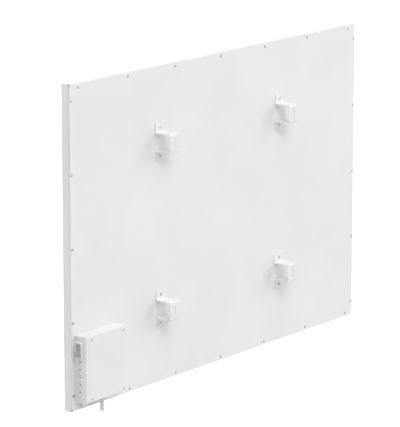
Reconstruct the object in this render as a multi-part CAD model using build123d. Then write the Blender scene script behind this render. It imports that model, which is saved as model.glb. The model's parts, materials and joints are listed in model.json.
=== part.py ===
from build123d import *
import os
from math import cos, sin, tau

# Flat infrared panel heater that hangs on a wall by four slotted brackets.
# The frame: +Z is up, +Y points to the wall, and the origin lies on the wall's face, centred between
# the four hanging slots. The heater radiates towards -Y. Left and right in the names are as seen from
# the wall, so left is +X. All sizes are in millimetres.

# ---- Panel ----
PANEL_WIDTH = 900.0
PANEL_HEIGHT = 600.0
PANEL_DEPTH = 18.0
WALL_GAP = 34.0  # wall to the panel's back
TRAY_SHEET = 1.0
TRAY_BEND = 2.0  # outside radius of the tray's folds
FLANGE_WIDTH = 15.0  # flange returned behind each wall of the tray
FLANGE_SLIT = 1.0  # mitre gap where two flanges meet
CORNER_RELIEF = 1.8  # radius of the notch that frees the folds at each corner
PLATE_SHEET = 0.8
PLATE_INSET = 1.5  # tray's outside to the back plate's edge
PLATE_CLIP = 5.0  # back plate's cut corners, clear of the notches

# ---- Rivets ----
RIVET_HEAD = 3.0  # head radius
RIVET_RISE = 1.1
RIVET_CROWN = 1.5  # radius of the head's flat crown
RIVET_SHANK = 1.6
RIVET_TAIL = 2.0  # shank beyond the last sheet
HOLE_CLEARANCE = 0.05  # radial, round every shank and screw
SMALL_SIDES = 12  # sides of a small round, such as a rivet or its hole
EDGE_ROW_COUNT = 7
EDGE_ROW_END = 26.25  # panel's side to a row's first rivet
EDGE_ROW_INSET = 8.0
EDGE_COLUMN_COUNT = 5
EDGE_COLUMN_END = 29.8  # panel's top to a column's first rivet
EDGE_COLUMN_INSET = 5.5

# ---- Hanging brackets ----
BRACKET_SPACING_X = 378.0
BRACKET_SPACING_Z = 316.0
BRACKET_WIDTH = 28.0
BRACKET_HEIGHT = 72.0
BRACKET_WEB = 36.0
BRACKET_SHEET = 2.0
BRACKET_BEND = 2.0  # inside radius of its folds
BRACKET_CORNER = 2.0
BRACKET_RIVET_Z = 27.3  # rivets above and below the bracket's centre
SLOT_LENGTH = 21.0
SLOT_WIDTH = 6.5

# ---- Heating layers ----
MAT_MARGIN = 11.0  # bare border inside the tray's walls
MAT_THICKNESS = 1.2
BUSBAR_WIDTH = 12.0
BUSBAR_THICKNESS = 0.4
BUSBAR_INSET = 14.0  # mat's edge to the busbar's edge
BUSBAR_END = 10.0
FOIL_THICKNESS = 0.3
FOIL_GAP = 4.0  # foil's edge to the busbar
BOARD_THICKNESS = 10.0
BOARD_WINDOW = 20.0

# ---- Junction box ----
BOX_SIDE_GAP = 8.0  # panel's left side to the wall that holds the switch
BOX_WIDTH = 115.5
BOX_FOOT_GAP = 19.3  # panel's bottom to the box
BOX_HEIGHT = 122.5
BOX_DEPTH = 28.0
BOX_SHEET = 1.0
BOX_BEND = 1.8
LIP_WIDTH = 8.5
LID_SHEET = 1.2
LID_SEAM = 0.5
LID_CORNER = 1.5
LID_SCREW_LEFT = 18.0  # box's left side to the first pair of screws
LID_SCREW_SPACING_X = 89.6
LID_SCREW_INSET_Z = 6.2
EAR_WIDTH = 13.0
EAR_LENGTH = 12.0
EAR_CORNER = 3.0
SCREW_HEAD = 2.8
SCREW_RISE = 1.6
SCREW_CROWN = 1.9
SCREW_SHANK = 1.45
SCREW_LENGTH = 7.0
RECESS_LENGTH = 2.8
RECESS_WIDTH = 0.7
RECESS_DEPTH = 0.9
VENT_COUNT = 5
VENT_PITCH = 14.0
VENT_DROP = 47.1  # box's top to the first vent
VENT_RADIUS = 1.5
SIDE_LINE_DEPTH = 14.0  # panel's back to the vents and the lead-out
BOX_RIVET_INSET_X = 12.0
BOX_RIVET_INSET_Z = 28.0

# ---- Lead-out sleeve ----
SLEEVE_SETBACK = 62.0  # box's left side to the sleeve
SLEEVE_RADIUS = 4.0
SLEEVE_BORE = 2.6
SLEEVE_LENGTH = 28.5  # below the box
SLEEVE_NECK = 3.5
SLEEVE_COLLAR = 5.5
SLEEVE_COLLAR_RISE = 2.0

# ---- Rocker switch ----
SWITCH_DROP = 25.3  # box's top to the switch
SWITCH_LINE_DEPTH = 11.5  # panel's back to the switch
SWITCH_LENGTH = 31.0  # bezel, along Z
SWITCH_WIDTH = 15.4  # bezel, along Y
BEZEL_RISE = 2.0
BEZEL_CORNER = 2.0
BEZEL_BEVEL = 0.7
HOUSING_LENGTH = 27.4
HOUSING_WIDTH = 12.4
HOUSING_DEPTH = 16.0
CUTOUT_CLEARANCE = 0.2
ROCKER_WIDTH = 9.4
ROCKER_RADIUS = 12.2  # its ends are arcs about the pivot
ROCKER_TILT = 11.0
ROCKER_END = 5.4  # pivot to the finger face at the ends
ROCKER_WAIST = 3.6  # pivot to the finger face in the middle
ROCKER_SKIRT = 3.5  # pivot to the underside
ROCKER_GAP = 0.35
PIVOT_DEPTH = 2.8  # bezel's face to the pivot
PIVOT_RADIUS = 1.25
PIVOT_PLAY = 0.05
PIVOT_REACH = 0.8
WELL_DEPTH = 9.0  # pivot to the floor of the rocker's well
BLADE_SPACING_Z = 15.0
BLADE_SPACING_Y = 6.0
BLADE_WIDTH = 4.8
BLADE_THICKNESS = 0.8
BLADE_LENGTH = 7.0
SLEEVE_TAG_LENGTH = 12.0
SLEEVE_TAG_WIDTH = 6.4
SLEEVE_TAG_THICKNESS = 3.6

# ---- Terminal block and earth ----
BLOCK_SETBACK = 82.0  # box's left side to the block
BLOCK_DROP = 81.8  # box's top to the block
BLOCK_LENGTH = 18.0  # along Z
BLOCK_HEIGHT = 15.0
BLOCK_BASE = 4.0
POLE_COUNT = 3
POLE_PITCH = 10.0
POLE_WIDTH = 8.4
POLE_ROUND = 2.5
CLAMP_SIZE = 4.4
CLAMP_BORE = 1.6
CLAMP_SETBACK = 1.0
CLAMP_SCREW = 1.4
CLAMP_SCREW_OFFSET = 4.5
CLAMP_SCREW_SINK = 2.0
FOOT_WIDTH = 4.0
FOOT_THICKNESS = 3.0
FOOT_REACH = 1.0  # beyond the back plate
FOOT_OFFSET = 9.0
WIRE_HEIGHT = 8.0  # box's floor to the wires at the block
STUD_DROP = 47.8  # box's top to the earth stud
STUD_RADIUS = 2.0
STUD_LENGTH = 12.5
STUD_FOOT_RADIUS = 3.5
STUD_FOOT = 1.2
NUT_FLATS = 7.0
NUT_THICKNESS = 3.2
TAG_RADIUS = 4.2
TAG_SHEET = 0.8
TAG_NECK = 4.4
TAG_BARREL = 2.1
TAG_BARREL_LENGTH = 6.0

# ---- Wiring ----
WIRE_RADIUS = 1.2
WIRE_SIDES = 6
WIRE_BEND = 8.0
WIRE_DROP_BEND = 4.0
WIRE_SWEEP_BEND = 14.0
WIRE_ENTRY = 3.0  # wire inside the block
GROMMET_SETBACK = 97.0  # box's left side to the grommet
GROMMET_NECK = 5.0
GROMMET_BORE = 3.6
GROMMET_RIM = 6.5
GROMMET_RIM_THICKNESS = 1.0
GROMMET_WIRE_OFFSET = 1.8
CUTOUT_SETBACK = 95.0  # grommet to the cut-out
CUTOUT_RADIUS = 8.0
CUTOUT_WINDOW = 9.0
LUG_LENGTH = 7.0
LUG_WIDTH = 4.0
LUG_THICKNESS = 0.8

# ---- Planes and places that follow ----
PANEL_BACK = -WALL_GAP
PANEL_FRONT = PANEL_BACK - PANEL_DEPTH
PLATE_IN = PANEL_BACK - PLATE_SHEET  # the plate's inner face, on the flanges
MAT_FRONT = PANEL_FRONT + TRAY_SHEET
MAT_BACK = MAT_FRONT + MAT_THICKNESS
FOIL_BACK = MAT_BACK + FOIL_THICKNESS
BOARD_BACK = FOIL_BACK + BOARD_THICKNESS
MAT_WIDTH = PANEL_WIDTH - 2 * (TRAY_SHEET + MAT_MARGIN)
MAT_HEIGHT = PANEL_HEIGHT - 2 * (TRAY_SHEET + MAT_MARGIN)
BUSBAR_X = MAT_WIDTH / 2 - BUSBAR_INSET - BUSBAR_WIDTH / 2
BOX_LEFT = PANEL_WIDTH / 2 - BOX_SIDE_GAP  # outside of the wall that holds the switch
BOX_RIGHT = BOX_LEFT - BOX_WIDTH
BOX_BOTTOM = BOX_FOOT_GAP - PANEL_HEIGHT / 2
BOX_TOP = BOX_BOTTOM + BOX_HEIGHT
BOX_FACE = PANEL_BACK + BOX_DEPTH
BOX_FLOOR = PANEL_BACK + BOX_SHEET
LID_UNDER = BOX_FACE - LID_SHEET
LID_EDGE = BOX_LEFT - LIP_WIDTH
SIDE_LINE = PANEL_BACK + SIDE_LINE_DEPTH
SLEEVE_X = BOX_LEFT - SLEEVE_SETBACK
VENT_TOP = BOX_TOP - VENT_DROP
BLOCK_X = BOX_LEFT - BLOCK_SETBACK
BLOCK_Z = BOX_TOP - BLOCK_DROP
STUD_Z = BOX_TOP - STUD_DROP
GROMMET_X = BOX_LEFT - GROMMET_SETBACK
CUTOUT_X = GROMMET_X - CUTOUT_SETBACK
SWITCH_Z = BOX_TOP - SWITCH_DROP
SWITCH_LINE = PANEL_BACK + SWITCH_LINE_DEPTH
BEZEL_FACE = BOX_LEFT + BEZEL_RISE
HOUSING_BACK = BOX_LEFT - HOUSING_DEPTH
PIVOT_X = BEZEL_FACE - PIVOT_DEPTH
ROCKER_SPAN = ROCKER_RADIUS + ROCKER_GAP  # half the length of the rocker's window
WIRE_LEVEL = BOX_FLOOR + WIRE_HEIGHT
LEAD_LEVEL = BOARD_BACK + WIRE_RADIUS  # leads lie on the board
FEED_Z = SWITCH_Z - BLADE_SPACING_Z / 2
LOAD_Z = SWITCH_Z + BLADE_SPACING_Z / 2
LIVE_Y = SWITCH_LINE + BLADE_SPACING_Y / 2
NEUTRAL_Y = SWITCH_LINE - BLADE_SPACING_Y / 2
TAG_END_X = HOUSING_BACK - SLEEVE_TAG_LENGTH
BLOCK_TOP = BLOCK_Z + BLOCK_LENGTH / 2


# ---- Helpers ----
def block(x_low, x_high, y_low, y_high, z_low, z_high):
    """Box between two limits on each axis."""
    middle = Pos((x_low + x_high) / 2, (y_low + y_high) / 2, (z_low + z_high) / 2)
    return middle * Box(x_high - x_low, y_high - y_low, z_high - z_low)


def slab(width, height, y_low, y_high, x=0.0, z=0.0):
    """Sheet that faces the wall, centred on x and z."""
    return block(x - width / 2, x + width / 2, y_low, y_high, z - height / 2, z + height / 2)


def along_y(outline, y_low, y_high, x=0.0, z=0.0):
    """Outline drawn face on, X across and Z up, and thickened from y_low to y_high."""
    return Pos(x, y_high, z) * extrude(Plane.XZ * outline, amount=y_high - y_low)


def peg(radius, y_low, y_high, x, z):
    """Round bar or drill along Y."""
    return along_y(Circle(radius), y_low, y_high, x, z)


def small_peg(radius, y_low, y_high, x, z):
    """Small round along Y with few sides: a shank, a boss or the hole that takes one."""
    return along_y(RegularPolygon(radius, SMALL_SIDES), y_low, y_high, x, z)


def domed_head(foot, crown, rise, x, y, z):
    """Low head seated at y: a small round that narrows from its foot to a flat crown."""
    turns = [i * tau / SMALL_SIDES for i in range(SMALL_SIDES)]
    rings = [(foot, y), (crown, y + rise)]
    corners = [(x + radius * cos(t), level, z + radius * sin(t)) for radius, level in rings for t in turns]
    return ConvexPolyhedron(corners).clean()


def corner_signs():
    """The four corners, as signs for X and Z."""
    return [(sx, sz) for sx in (1, -1) for sz in (1, -1)]


def round_bar(points, bends, radius):
    """Insulated wire: straight runs joined by tangent arcs."""
    path = FilletPolyline(*points, radius=bends) if len(points) > 2 else Line(*points)
    section = Plane(origin=path @ 0, z_dir=path % 0) * RegularPolygon(radius, WIRE_SIDES)
    return sweep(section, path=path)


# ---- Places ----
def spread(reach, count):
    """Evenly spaced places from one end to the other of a line with its middle at zero."""
    return [reach * (2 * i / (count - 1) - 1) for i in range(count)]


def edge_rivet_spots():
    """Rivets in rows above and below and in columns at the sides."""
    rows = spread(PANEL_WIDTH / 2 - EDGE_ROW_END, EDGE_ROW_COUNT)
    columns = spread(PANEL_HEIGHT / 2 - EDGE_COLUMN_END, EDGE_COLUMN_COUNT)
    row_z = PANEL_HEIGHT / 2 - EDGE_ROW_INSET
    column_x = PANEL_WIDTH / 2 - EDGE_COLUMN_INSET
    spots = [(x, side * row_z) for side in (1, -1) for x in rows]
    return spots + [(side * column_x, z) for side in (1, -1) for z in columns]


def bracket_spots():
    """Centre of each bracket by name."""
    names = {(1, 1): "upper_left", (1, -1): "lower_left", (-1, 1): "upper_right", (-1, -1): "lower_right"}
    half_x = BRACKET_SPACING_X / 2
    half_z = BRACKET_SPACING_Z / 2
    return {names[sx, sz]: (sx * half_x, sz * half_z) for sx, sz in corner_signs()}


def bracket_rivet_spots():
    """Two rivets on each bracket's centre line."""
    return [(x, z + side * BRACKET_RIVET_Z) for x, z in bracket_spots().values() for side in (1, -1)]


def box_rivet_spots():
    """Four rivets that hold the box's floor to the back plate."""
    x_middle = (BOX_LEFT + BOX_RIGHT) / 2
    z_middle = (BOX_TOP + BOX_BOTTOM) / 2
    half_x = BOX_WIDTH / 2 - BOX_RIVET_INSET_X
    half_z = BOX_HEIGHT / 2 - BOX_RIVET_INSET_Z
    return [(x_middle + sx * half_x, z_middle + sz * half_z) for sx, sz in corner_signs()]


def lid_screw_spots():
    """Four screws near the lid's corners."""
    left = BOX_LEFT - LID_SCREW_LEFT
    columns = (left, left - LID_SCREW_SPACING_X)
    rows = (BOX_TOP - LID_SCREW_INSET_Z, BOX_BOTTOM + LID_SCREW_INSET_Z)
    return [(x, z) for x in columns for z in rows]


def pole_spots():
    """X of each pole of the terminal block, from the live pole to the earth pole."""
    return [BLOCK_X + ((POLE_COUNT - 1) / 2 - i) * POLE_PITCH for i in range(POLE_COUNT)]


def foot_spots():
    """X of the block's two snap feet."""
    return [BLOCK_X + side * FOOT_OFFSET for side in (1, -1)]


# ---- Panel shell ----
def folded_pan(width, height, y_low, y_high, bend):
    """Closed pan with rounded folds round its front and back edges."""
    pan = slab(width, height, y_low, y_high)
    return fillet(pan.edges().filter_by(Axis.Y, reverse=True), bend)


def flange_corner_cut(sx, sz):
    """Mitre slit between two flanges, and the notch at the corner that frees the folds."""
    y_low = PLATE_IN - TRAY_BEND
    notch_x = sx * (PANEL_WIDTH / 2 - TRAY_BEND)
    notch_z = sz * (PANEL_HEIGHT / 2 - TRAY_BEND)
    notch = small_peg(CORNER_RELIEF, y_low, PLATE_IN, notch_x, notch_z)
    reach = FLANGE_WIDTH - TRAY_BEND
    slit_middle = Pos(notch_x - sx * reach / 2, PLATE_IN - TRAY_SHEET / 2, notch_z - sz * reach / 2)
    slit_length = reach * 2**0.5 + 2 * FLANGE_SLIT
    slit = slit_middle * Rot(0, -45 * sx * sz, 0) * Box(slit_length, TRAY_SHEET, FLANGE_SLIT)
    return notch + slit


def front_tray():
    """Radiating face, four walls and four returned flanges, folded from one sheet."""
    twice = 2 * TRAY_SHEET
    outside = folded_pan(PANEL_WIDTH, PANEL_HEIGHT, PANEL_FRONT, PLATE_IN, TRAY_BEND)
    flange_front = PLATE_IN - TRAY_SHEET
    inner_bend = TRAY_BEND - TRAY_SHEET
    inside = folded_pan(PANEL_WIDTH - twice, PANEL_HEIGHT - twice, MAT_FRONT, flange_front, inner_bend)
    window_width = PANEL_WIDTH - 2 * FLANGE_WIDTH
    window_height = PANEL_HEIGHT - 2 * FLANGE_WIDTH
    tray = outside - inside - slab(window_width, window_height, flange_front, PLATE_IN)
    for sx, sz in corner_signs():
        tray -= flange_corner_cut(sx, sz)
    return tray


def back_plate():
    """Flat cover riveted to the flanges, pierced for brackets, box, grommet and the block's feet."""
    outline = Rectangle(PANEL_WIDTH - 2 * PLATE_INSET, PANEL_HEIGHT - 2 * PLATE_INSET)
    outline = chamfer(outline.vertices(), PLATE_CLIP)
    plate = along_y(outline, PLATE_IN, PANEL_BACK)
    for x, z in bracket_rivet_spots() + box_rivet_spots():
        plate -= small_peg(RIVET_SHANK + HOLE_CLEARANCE, PLATE_IN, PANEL_BACK, x, z)
    plate -= small_peg(GROMMET_NECK + HOLE_CLEARANCE, PLATE_IN, PANEL_BACK, GROMMET_X, LOAD_Z)
    for x in foot_spots():
        plate -= foot_slot(x, PLATE_IN, PANEL_BACK)
    return plate


def rivet_head(x, y, z):
    """Low rivet head seated at y."""
    return domed_head(RIVET_HEAD, RIVET_CROWN, RIVET_RISE, x, y, z)


def edge_rivets():
    """Rivet heads round the back plate's edge, which close the tray."""
    return [rivet_head(x, PANEL_BACK, z) for x, z in edge_rivet_spots()]


def through_rivet(x, z, seat):
    """Rivet whose head is seated on a part above the back plate."""
    return rivet_head(x, seat, z) + small_peg(RIVET_SHANK, PLATE_IN - RIVET_TAIL, seat, x, z)


# ---- Hanging brackets ----
def bracket_profile():
    """Hat strap's section in Y and Z, drawn along the side of the sheet that faces the panel."""
    web = -BRACKET_SHEET
    leg = BRACKET_WEB / 2 - BRACKET_SHEET
    end = BRACKET_HEIGHT / 2
    outer_bend = BRACKET_BEND + BRACKET_SHEET
    lower = [(PANEL_BACK, -end), (PANEL_BACK, -leg), (web, -leg)]
    upper = [(web, leg), (PANEL_BACK, leg), (PANEL_BACK, end)]
    points = lower + upper
    bends = [outer_bend, BRACKET_BEND, BRACKET_BEND, outer_bend]
    line = FilletPolyline(*points, radius=bends)
    return make_face(offset(line, amount=BRACKET_SHEET, side=Side.RIGHT))


def bracket(x, z):
    """Hat strap with a riveted foot at each end and an upright slot in its web."""
    strap = extrude(Plane.YZ * bracket_profile(), amount=BRACKET_WIDTH / 2, both=True)
    strap = chamfer(foot_corners(strap), BRACKET_CORNER)
    strap -= along_y(Rot(0, 0, 90) * SlotOverall(SLOT_LENGTH, SLOT_WIDTH), -BRACKET_SHEET, 0)
    foot_top = PANEL_BACK + BRACKET_SHEET
    for side in (1, -1):
        strap -= small_peg(RIVET_SHANK + HOLE_CLEARANCE, PANEL_BACK, foot_top, 0, side * BRACKET_RIVET_Z)
    return Pos(x, 0, z) * strap


def foot_corners(strap):
    """Short edges at the four corners of the strap's feet."""
    upright = strap.edges().filter_by(Axis.Y)
    reach = BRACKET_HEIGHT / 2 - BRACKET_BEND
    return upright.filter_by(lambda edge: abs(edge.center().Z) > reach)


# ---- Heating layers ----
def heating_mat():
    """Laminated resistance mat bonded behind the radiating face, grooved for its busbars."""
    mat = slab(MAT_WIDTH, MAT_HEIGHT, MAT_FRONT, MAT_BACK)
    for bar in busbars():
        mat -= bar
    return mat


def busbars():
    """Copper strips along the mat's two sides."""
    height = MAT_HEIGHT - 2 * BUSBAR_END
    low = MAT_BACK - BUSBAR_THICKNESS
    return [slab(BUSBAR_WIDTH, height, low, MAT_BACK, side * BUSBAR_X) for side in (1, -1)]


def reflective_foil():
    """Foil behind the mat, short of the busbars."""
    width = 2 * (BUSBAR_X - BUSBAR_WIDTH / 2 - FOIL_GAP)
    return slab(width, MAT_HEIGHT, MAT_BACK, FOIL_BACK)


def insulation_board():
    """Mineral board behind the foil, with a window for the cut-out and one over each busbar lug."""
    board = slab(MAT_WIDTH, MAT_HEIGHT, FOIL_BACK, BOARD_BACK)
    board -= peg(CUTOUT_WINDOW, FOIL_BACK, BOARD_BACK, CUTOUT_X, LOAD_Z)
    for side in (1, -1):
        board -= slab(BOARD_WINDOW, BOARD_WINDOW, FOIL_BACK, BOARD_BACK, side * BUSBAR_X, LOAD_Z)
    return board


def thermal_cutout():
    """Bimetal disc cut-out seated on the foil, with a terminal lug on each side at the leads' level."""
    body = peg(CUTOUT_RADIUS, FOIL_BACK, LEAD_LEVEL + WIRE_RADIUS, CUTOUT_X, LOAD_Z)
    reach = CUTOUT_RADIUS + LUG_LENGTH
    lug_low = LEAD_LEVEL - LUG_THICKNESS / 2
    return body + slab(2 * reach, LUG_WIDTH, lug_low, lug_low + LUG_THICKNESS, CUTOUT_X, LOAD_Z)


def busbar_lug(side):
    """Folded lug that rises from a busbar to the leads' level."""
    low = MAT_BACK
    high = LEAD_LEVEL + LUG_THICKNESS / 2
    inner = BUSBAR_X - LUG_LENGTH / 2
    outer = BUSBAR_X + LUG_LENGTH / 2
    z_low = LOAD_Z - LUG_WIDTH / 2
    z_high = LOAD_Z + LUG_WIDTH / 2
    foot = block(inner, outer, low, low + LUG_THICKNESS, z_low, z_high)
    riser = block(outer - LUG_THICKNESS, outer, low, high, z_low, z_high)
    head = block(inner, outer, high - LUG_THICKNESS, high, z_low, z_high)
    lug = foot + riser + head
    return lug if side > 0 else mirror(lug, Plane.YZ)


# ---- Junction box ----
def box_form(inset, bend):
    """Solid form of the folded box, inset all round: rounded folds round its floor and along its lip."""
    x_ends = (BOX_RIGHT + inset, BOX_LEFT - inset)
    y_ends = (PANEL_BACK + inset, BOX_FACE - inset)
    form = block(*x_ends, *y_ends, BOX_BOTTOM + inset, BOX_TOP - inset)
    floor_edges = form.faces().sort_by(Axis.Y)[0].edges()
    lip_edge = form.edges().filter_by(Axis.Z).group_by(Axis.X)[-1].sort_by(Axis.Y)[-1]
    return fillet(floor_edges + [lip_edge], bend)


def lid_ear(x, z):
    """Tab folded in from the top or bottom wall, which takes a lid screw."""
    z_middle = (BOX_TOP + BOX_BOTTOM) / 2
    out = 1 if z > z_middle else -1
    wall = BOX_TOP - BOX_SHEET if out > 0 else BOX_BOTTOM + BOX_SHEET
    outline = Rectangle(EAR_WIDTH, EAR_LENGTH)
    free_end = outline.vertices().group_by(Axis.Y)[0 if out > 0 else -1]
    low = LID_UNDER - BOX_SHEET
    tab = along_y(chamfer(free_end, EAR_CORNER), low, LID_UNDER, x, wall - out * EAR_LENGTH / 2)
    return tab - small_peg(SCREW_SHANK + HOLE_CLEARANCE, low, LID_UNDER, x, z)


def side_cut(outline, y, z):
    """Outline cut through the box's left wall."""
    plane = Plane(origin=(BOX_LEFT, y, z), x_dir=(0, 1, 0), z_dir=(1, 0, 0))
    return extrude(plane * outline, amount=-BOX_SHEET)


def foot_slot(x, y_low, y_high):
    """Slot for one snap foot of the terminal block."""
    twice = 2 * HOLE_CLEARANCE
    return slab(FOOT_WIDTH + twice, FOOT_THICKNESS + twice, y_low, y_high, x, BLOCK_Z)


def box_floor_cuts():
    """Every hole through the box's floor."""
    rivet_hole = RIVET_SHANK + HOLE_CLEARANCE
    cuts = [small_peg(rivet_hole, PANEL_BACK, BOX_FLOOR, x, z) for x, z in box_rivet_spots()]
    cuts.append(small_peg(GROMMET_NECK + HOLE_CLEARANCE, PANEL_BACK, BOX_FLOOR, GROMMET_X, LOAD_Z))
    return cuts + [foot_slot(x, PANEL_BACK, BOX_FLOOR) for x in foot_spots()]


def box_wall_cuts():
    """Switch cut-out and vents in the left wall, and the sleeve's hole in the bottom wall."""
    length = HOUSING_LENGTH + 2 * CUTOUT_CLEARANCE
    width = HOUSING_WIDTH + 2 * CUTOUT_CLEARANCE
    cuts = [side_cut(Rectangle(width, length), SWITCH_LINE, SWITCH_Z)]
    vent = RegularPolygon(VENT_RADIUS, SMALL_SIDES)
    cuts += [side_cut(vent, SIDE_LINE, VENT_TOP - i * VENT_PITCH) for i in range(VENT_COUNT)]
    hole = Pos(SLEEVE_X, SIDE_LINE, BOX_BOTTOM) * extrude(Circle(SLEEVE_NECK), amount=BOX_SHEET)
    return cuts + [hole]


def junction_box_body():
    """Folded box: floor, four walls, a lip in front of the left wall and ears for the lid's screws."""
    body = box_form(0.0, BOX_BEND) - box_form(BOX_SHEET, BOX_BEND - BOX_SHEET)
    body -= block(BOX_RIGHT, LID_EDGE, LID_UNDER, BOX_FACE, BOX_BOTTOM, BOX_TOP)
    for x, z in lid_screw_spots():
        body += lid_ear(x, z)
    for cut in box_floor_cuts() + box_wall_cuts():
        body -= cut
    return body


def junction_box_lid():
    """Flat lid that butts against the lip with a fine seam."""
    width = LID_EDGE - LID_SEAM - BOX_RIGHT
    x_middle = BOX_RIGHT + width / 2
    z_middle = (BOX_TOP + BOX_BOTTOM) / 2
    outline = Rectangle(width, BOX_HEIGHT)
    free_corners = outline.vertices().group_by(Axis.X)[0]
    lid = along_y(fillet(free_corners, LID_CORNER), LID_UNDER, BOX_FACE, x_middle, z_middle)
    for x, z in lid_screw_spots():
        lid -= small_peg(SCREW_SHANK + HOLE_CLEARANCE, LID_UNDER, BOX_FACE, x, z)
    return lid


def lid_screw(x, z):
    """Pan head screw with a cross recess."""
    screw = domed_head(SCREW_HEAD, SCREW_CROWN, SCREW_RISE, x, BOX_FACE, z)
    screw += small_peg(SCREW_SHANK, BOX_FACE - SCREW_LENGTH, BOX_FACE, x, z)
    top = BOX_FACE + SCREW_RISE
    cross = slab(RECESS_LENGTH, RECESS_WIDTH, top - RECESS_DEPTH, top, x, z)
    cross += slab(RECESS_WIDTH, RECESS_LENGTH, top - RECESS_DEPTH, top, x, z)
    return screw - cross


def lead_out_sleeve():
    """Bored sleeve snapped into the bottom wall, its collar inside the box."""
    collar_top = BOX_SHEET + SLEEVE_COLLAR_RISE
    outline = Polyline(
        (SLEEVE_BORE, -SLEEVE_LENGTH),
        (SLEEVE_RADIUS, -SLEEVE_LENGTH),
        (SLEEVE_RADIUS, 0),
        (SLEEVE_NECK - HOLE_CLEARANCE, 0),
        (SLEEVE_NECK - HOLE_CLEARANCE, BOX_SHEET),
        (SLEEVE_COLLAR, BOX_SHEET),
        (SLEEVE_COLLAR, collar_top),
        (SLEEVE_BORE, collar_top),
        close=True,
    )
    spun = revolve(make_face(Plane.XZ * outline), Axis.Z)
    return Pos(SLEEVE_X, SIDE_LINE, BOX_BOTTOM) * spun


# ---- Rocker switch ----
def switch_plane(x):
    """Plane across the switch: its x runs along Y and its y along Z, at the given X."""
    return Plane(origin=(x, SWITCH_LINE, SWITCH_Z), x_dir=(0, 1, 0), z_dir=(1, 0, 0))


def rocker_window():
    """Well that the rocker swings in, from the bezel's face down."""
    outline = Rectangle(ROCKER_WIDTH + 2 * ROCKER_GAP, 2 * ROCKER_SPAN)
    return extrude(switch_plane(BEZEL_FACE) * outline, amount=-(PIVOT_DEPTH + WELL_DEPTH))


def pivot_bar(radius, reach):
    """Bar along Y on the rocker's pivot, reaching past the rocker on both sides."""
    length = ROCKER_WIDTH + 2 * reach
    return Pos(PIVOT_X, SWITCH_LINE, SWITCH_Z) * Rot(90, 0, 0) * Cylinder(radius, length)


def switch_housing():
    """Moulded housing through the wall, with a bevelled bezel outside and a well for the rocker."""
    outline = RectangleRounded(SWITCH_WIDTH, SWITCH_LENGTH, BEZEL_CORNER)
    bezel = extrude(switch_plane(BOX_LEFT) * outline, BEZEL_RISE)
    bezel = chamfer(bezel.faces().sort_by(Axis.X)[-1].edges(), BEZEL_BEVEL)
    body = Rectangle(HOUSING_WIDTH, HOUSING_LENGTH)
    housing = bezel + extrude(switch_plane(BOX_LEFT) * body, amount=-HOUSING_DEPTH)
    return housing - rocker_window() - pivot_bar(PIVOT_RADIUS + PIVOT_PLAY, PIVOT_REACH + ROCKER_GAP)


def rocker_profile():
    """Rocker seen along its pivot: hollowed finger face, straight skirt, ends rounded about the pivot."""
    finger = [(ROCKER_END, -ROCKER_RADIUS), (ROCKER_WAIST, 0), (ROCKER_END, ROCKER_RADIUS)]
    under = [(-ROCKER_SKIRT, ROCKER_RADIUS), (-ROCKER_SKIRT, -ROCKER_RADIUS)]
    wedge = make_face(Polyline(*finger, *under, close=True))
    return wedge & Circle(ROCKER_RADIUS)


def switch_rocker():
    """Rocker at rest, tilted to one side, with its pivot pins."""
    side_view = Plane(origin=(PIVOT_X, SWITCH_LINE, SWITCH_Z), x_dir=(1, 0, 0), z_dir=(0, -1, 0))
    tilted = side_view * Rot(0, 0, ROCKER_TILT) * rocker_profile()
    return extrude(tilted, amount=ROCKER_WIDTH / 2, both=True) + pivot_bar(PIVOT_RADIUS, PIVOT_REACH)


def blade_spots():
    """Y and Z of the switch's four blades."""
    return [(y, z) for y in (LIVE_Y, NEUTRAL_Y) for z in (FEED_Z, LOAD_Z)]


def switch_blade(y, z):
    """Flat blade behind the housing."""
    x_low = HOUSING_BACK - BLADE_LENGTH
    return Pos((x_low + HOUSING_BACK) / 2, y, z) * Box(BLADE_LENGTH, BLADE_THICKNESS, BLADE_WIDTH)


def push_on_tag(y, z):
    """Insulated receptacle pushed over a blade, its mouth against the housing."""
    middle = Pos((TAG_END_X + HOUSING_BACK) / 2, y, z)
    tag = middle * Box(SLEEVE_TAG_LENGTH, SLEEVE_TAG_THICKNESS, SLEEVE_TAG_WIDTH)
    return tag - switch_blade(y, z)


# ---- Terminal block and earth ----
def clamp_bar(x):
    """Square brass bar of one pole, bored for the wires."""
    length = BLOCK_LENGTH - 2 * CLAMP_SETBACK
    section = Rectangle(CLAMP_SIZE, CLAMP_SIZE) - RegularPolygon(CLAMP_BORE, SMALL_SIDES)
    return Pos(x, WIRE_LEVEL, BLOCK_Z) * extrude(section, amount=length / 2, both=True)


def clamp_screw_spots():
    """X and Z of the screws, two to a pole."""
    return [(x, BLOCK_Z + side * CLAMP_SCREW_OFFSET) for x in pole_spots() for side in (1, -1)]


def clamp_screw(x, z):
    """Headless screw that bears on its bar."""
    top = BOX_FLOOR + BLOCK_HEIGHT - CLAMP_SCREW_SINK
    return small_peg(CLAMP_SCREW, WIRE_LEVEL + CLAMP_SIZE / 2, top, x, z)


def snap_foot(x):
    """Foot below the block, through the floor and the back plate."""
    return slab(FOOT_WIDTH, FOOT_THICKNESS, PLATE_IN - FOOT_REACH, BOX_FLOOR, x, BLOCK_Z)


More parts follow.
